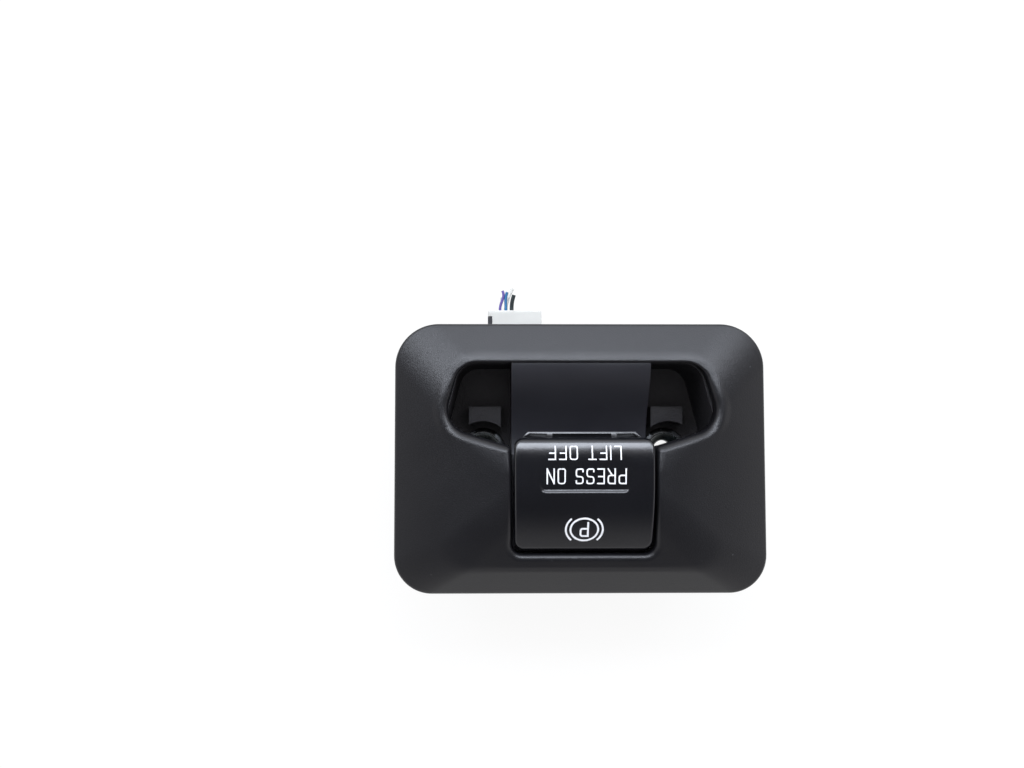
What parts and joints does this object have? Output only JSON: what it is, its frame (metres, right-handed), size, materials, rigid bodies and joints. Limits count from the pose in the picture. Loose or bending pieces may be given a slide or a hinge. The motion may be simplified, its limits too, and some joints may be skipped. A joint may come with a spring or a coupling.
{
  "type": "parking brake switch",
  "caption": "Push and pull rocker switch for an electric parking brake, in a crowned trim bezel with a finger recess and a cut-off harness plug.",
  "frame": {"origin": "midway between the two fixing holes, on the carrier's back face that seats on the car's bracket", "axes": "+X across the switch, to the right as the driver sees it from the front of the car's console; +Y towards the connector; +Z out of the visible face, along the fixing screws"},
  "size_m": [0.1, 0.0878, 0.0519],
  "materials": {
    "trim_black": "fine-grained moulded ABS",
    "tray_black": "glass-filled nylon",
    "gloss_black": "polished injection-moulded polycarbonate",
    "working_black": "acetal",
    "clear_guide": "clear polycarbonate",
    "steel": "bright zinc plate",
    "spring_steel": "spring steel",
    "contact_metal": "tinned bronze",
    "board_green": "solder-masked glass-epoxy laminate",
    "lamp_white": "diffusing resin",
    "chip_black": "moulded epoxy",
    "ceramic_tan": "fired ceramic",
    "plug_grey": "natural PBT",
    "insulation_black": "extruded PVC",
    "insulation_blue": "extruded PVC",
    "insulation_grey": "extruded PVC",
    "insulation_violet": "extruded PVC",
    "insulation_white": "extruded PVC"
  },
  "bodies": {
    "housing": {"bezel": "trim_black", "bezel_clips": "spring_steel", "bezel_screws": "steel", "carrier_frame": "tray_black", "chip_components": "ceramic_tan", "circuit_board": "board_green", "control_chip": "chip_black", "cover_screws": "steel", "crimp_terminals": "contact_metal", "fixing_bushes": "steel", "header_pins": "contact_metal", "indicator_lamps": "lamp_white", "module_screws": "steel", "pivot_pin": "steel", "plug_housing": "plug_grey", "plug_lock": "plug_grey", "rear_cover": "tray_black", "springs_lower": "spring_steel", "springs_upper": "spring_steel", "switch_housing": "tray_black", "wire_black": "insulation_black", "wire_blue": "insulation_blue", "wire_grey": "insulation_grey", "wire_violet": "insulation_violet", "wire_white": "insulation_white"},
    "rocker": {"button_cap": "gloss_black", "light_guide": "clear_guide", "pull_grip": "gloss_black", "rocker_frame": "working_black"},
    "carriage": {"contact_carriage": "working_black", "contact_wipers": "contact_metal"}
  },
  "joints": [
    {"name": "rocker_hinge", "type": "hinge", "parent": "housing", "child": "rocker", "pos_m": [0, -0.0201, 0.0275], "axis": [1, 0, 0], "range_deg": [-5, 7], "stiffness_Nm_per_rad": 1.5, "deforming": ["springs_lower", "springs_upper"]},
    {"name": "carriage_slide", "type": "slide", "parent": "housing", "child": "carriage", "axis": [0, 1, 0], "range_m": [-0.0021, 0.0029]}
  ],
  "couplings": [
    {"joint": "carriage_slide", "follows": "rocker_hinge", "m_per_rad": 0.0197}
  ]
}
